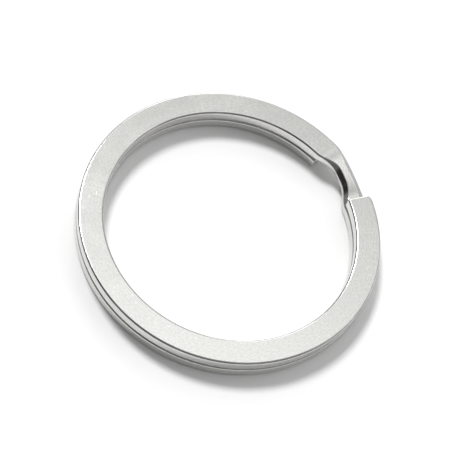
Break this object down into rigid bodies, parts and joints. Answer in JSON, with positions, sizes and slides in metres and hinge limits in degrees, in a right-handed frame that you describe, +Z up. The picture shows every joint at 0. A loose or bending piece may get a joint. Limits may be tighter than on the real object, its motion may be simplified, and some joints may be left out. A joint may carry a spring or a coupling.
{
  "type": "split key ring",
  "caption": "Flat spring-wire split key ring: stacked coils joined by a stepped crossover, with free ends that spring apart to take a key.",
  "frame": {"origin": "centre of the ring, on the plane that it lies on", "axes": "+Z up through the eye, across the coils; the crossover lies 53 degrees from +X towards +Y"},
  "size_m": [0.03, 0.03, 0.0025],
  "materials": {
    "nickel_plated_steel": "bright nickel plate over flat-rolled spring steel, softly polished"
  },
  "bodies": {
    "crossover_and_fixed_coils": {"crossover": "nickel_plated_steel", "upper_coil_1": "nickel_plated_steel", "upper_coil_2": "nickel_plated_steel", "upper_coil_3": "nickel_plated_steel", "lower_coil_1": "nickel_plated_steel", "lower_coil_2": "nickel_plated_steel", "lower_coil_3": "nickel_plated_steel"},
    "upper_coil_4": {"upper_coil_4": "nickel_plated_steel"},
    "upper_coil_5": {"upper_coil_5": "nickel_plated_steel"},
    "upper_coil_6": {"upper_coil_6": "nickel_plated_steel"},
    "upper_coil_7": {"upper_coil_7": "nickel_plated_steel"},
    "upper_end": {"upper_end": "nickel_plated_steel"},
    "lower_coil_4": {"lower_coil_4": "nickel_plated_steel"},
    "lower_coil_5": {"lower_coil_5": "nickel_plated_steel"},
    "lower_coil_6": {"lower_coil_6": "nickel_plated_steel"},
    "lower_coil_7": {"lower_coil_7": "nickel_plated_steel"},
    "lower_end": {"lower_end": "nickel_plated_steel"}
  },
  "joints": [
    {"name": "upper_coil_open", "type": "hinge", "parent": "crossover_and_fixed_coils", "child": "upper_coil_4", "pos_m": [-0.0135, -0.00262, 0.0019], "axis": [0.1903, -0.9817, 0], "range_deg": [0, 2.7], "stiffness_Nm_per_rad": 28.7},
    {"name": "upper_coil_flex_2", "type": "hinge", "parent": "upper_coil_4", "child": "upper_coil_5", "pos_m": [-0.00831, -0.01095, 0.0019], "axis": [0.7188, -0.6952, 0], "range_deg": [0, 2.87]},
    {"name": "upper_coil_flex_3", "type": "hinge", "parent": "upper_coil_5", "child": "upper_coil_6", "pos_m": [0.00111, -0.01371, 0.0019], "axis": [0.9106, -0.4132, 0], "range_deg": [0, 2.61]},
    {"name": "upper_coil_flex_4", "type": "hinge", "parent": "upper_coil_6", "child": "upper_coil_7", "pos_m": [0.00996, -0.00948, 0.0019], "axis": [0.9978, -0.0667, 0], "range_deg": [0, 2.01]},
    {"name": "upper_coil_flex_5", "type": "hinge", "parent": "upper_coil_7", "child": "upper_end", "pos_m": [0.01374, -0.00042, 0.0019], "axis": [0.9521, 0.3058, 0], "range_deg": [0, 1.1]},
    {"name": "lower_coil_open", "type": "hinge", "parent": "crossover_and_fixed_coils", "child": "lower_coil_4", "pos_m": [0.00121, -0.0137, 0.0006], "axis": [-0.9961, -0.0877, 0], "range_deg": [0, 2.7], "stiffness_Nm_per_rad": 28.7},
    {"name": "lower_coil_flex_2", "type": "hinge", "parent": "lower_coil_4", "child": "lower_coil_5", "pos_m": [-0.00823, -0.01101, 0.0006], "axis": [-0.8664, 0.4993, 0], "range_deg": [0, 2.87]},
    {"name": "lower_coil_flex_3", "type": "hinge", "parent": "lower_coil_5", "child": "lower_coil_6", "pos_m": [-0.01348, -0.00271, 0.0006], "axis": [-0.6482, 0.7615, 0], "range_deg": [0, 2.61]},
    {"name": "lower_coil_flex_4", "type": "hinge", "parent": "lower_coil_6", "child": "lower_coil_7", "pos_m": [-0.01186, 0.00697, 0.0006], "axis": [-0.3392, 0.9407, 0], "range_deg": [0, 2.01]},
    {"name": "lower_coil_flex_5", "type": "hinge", "parent": "lower_coil_7", "child": "lower_end", "pos_m": [-0.00419, 0.0131, 0.0006], "axis": [0.0315, 0.9995, 0], "range_deg": [0, 1.1]}
  ],
  "couplings": [
    {"joint": "upper_coil_flex_2", "follows": "upper_coil_open", "ratio": 1.0619},
    {"joint": "upper_coil_flex_3", "follows": "upper_coil_open", "ratio": 0.9645},
    {"joint": "upper_coil_flex_4", "follows": "upper_coil_open", "ratio": 0.7425},
    {"joint": "upper_coil_flex_5", "follows": "upper_coil_open", "ratio": 0.4065},
    {"joint": "lower_coil_flex_2", "follows": "lower_coil_open", "ratio": 1.0619},
    {"joint": "lower_coil_flex_3", "follows": "lower_coil_open", "ratio": 0.9645},
    {"joint": "lower_coil_flex_4", "follows": "lower_coil_open", "ratio": 0.7425},
    {"joint": "lower_coil_flex_5", "follows": "lower_coil_open", "ratio": 0.4065}
  ]
}
